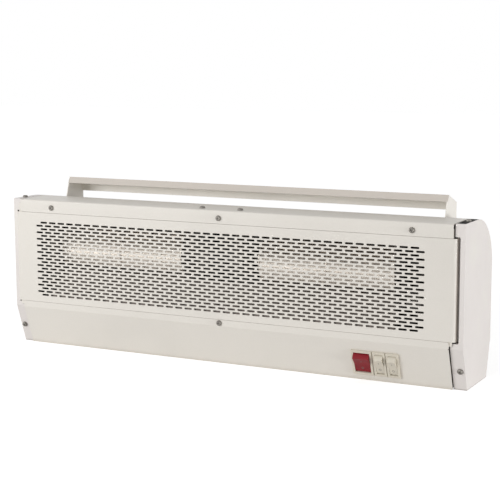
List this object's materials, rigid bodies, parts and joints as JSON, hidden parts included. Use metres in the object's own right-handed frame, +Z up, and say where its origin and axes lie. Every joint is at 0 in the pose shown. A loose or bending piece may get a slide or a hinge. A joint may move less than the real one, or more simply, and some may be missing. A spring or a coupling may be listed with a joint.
{
  "type": "air curtain",
  "caption": "Over-door air curtain with a folded sheet-metal casing, slotted intake panel, cross-flow impellers, bottom outlet, rocker switches and a hanging bar.",
  "frame": {"origin": "centre of the underside of the unit's bounding box", "axes": "+X along the width towards the switches, +Y from the intake panel towards the wall, +Z up"},
  "size_m": [0.6, 0.1054, 0.211],
  "materials": {
    "paint": "satin powder coat, warm white",
    "plastic": "moulded, warm white, fine texture",
    "galvanised": "bright zinc-coated sheet",
    "steel": "zinc-plated",
    "aluminium": "bare sheet and die-cast",
    "lamination": "stacked electrical steel",
    "copper": "varnished copper wire",
    "element": "oxidised steel sheath",
    "rubber": "matt",
    "bronze": "sintered bronze",
    "ceramic": "unglazed, off-white",
    "red": "moulded, dark red",
    "cream": "moulded, cream"
  },
  "bodies": {
    "housing": {"casing_shell": "paint", "intake_grille": "paint", "apron": "paint", "outlet_grille": "paint", "hanging_bar": "paint", "cable_seal": "rubber", "end_cap_left": "plastic", "end_plate_left": "galvanised", "bulkhead_left": "galvanised", "end_cap_right": "plastic", "end_plate_right": "galvanised", "bulkhead_right": "galvanised", "scroll_casing": "galvanised", "duct_tongue": "galvanised", "element_support": "galvanised", "heating_element_front": "element", "heating_element_rear": "element", "motor_mount": "galvanised", "stator_stack": "lamination", "winding_left": "copper", "motor_bell_left": "aluminium", "motor_bearing_left": "bronze", "bush_left": "rubber", "shaft_bearing_left": "bronze", "winding_right": "copper", "motor_bell_right": "aluminium", "motor_bearing_right": "bronze", "bush_right": "rubber", "shaft_bearing_right": "bronze", "switch_body_main": "cream", "switch_body_fan": "cream", "switch_body_heat": "cream", "terminal_block": "ceramic", "thermal_cutout": "ceramic", "screw_band_1": "steel", "screw_band_2": "steel", "screw_band_3": "steel", "screw_apron": "steel", "screw_motor_1": "steel", "screw_motor_2": "steel", "screw_bar_left_1": "steel", "screw_bar_left_2": "steel", "screw_bar_right_1": "steel", "screw_bar_right_2": "steel", "screw_cap_top_left": "steel", "screw_cap_low_left": "steel", "screw_cap_top_right": "steel", "screw_cap_low_right": "steel"},
    "rotor": {"motor_shaft": "steel", "motor_rotor": "lamination", "impeller_left": "aluminium", "impeller_right": "aluminium"},
    "rocker_main": {"rocker_main": "red"},
    "rocker_fan": {"rocker_fan": "cream"},
    "rocker_heat": {"rocker_heat": "cream"}
  },
  "joints": [
    {"name": "rotor_spin", "type": "hinge", "parent": "housing", "child": "rotor", "pos_m": [-0.01175, -0.0003, 0.125], "axis": [1, 0, 0], "continuous": true},
    {"name": "rocker_main_tilt", "type": "hinge", "parent": "housing", "child": "rocker_main", "pos_m": [0.1798, -0.0381, 0.02359], "axis": [1, 0, 0], "range_deg": [-32, 0]},
    {"name": "rocker_fan_tilt", "type": "hinge", "parent": "housing", "child": "rocker_fan", "pos_m": [0.201, -0.0381, 0.02359], "axis": [1, 0, 0], "range_deg": [-32, 0]},
    {"name": "rocker_heat_tilt", "type": "hinge", "parent": "housing", "child": "rocker_heat", "pos_m": [0.217, -0.0381, 0.02359], "axis": [1, 0, 0], "range_deg": [-32, 0]}
  ]
}
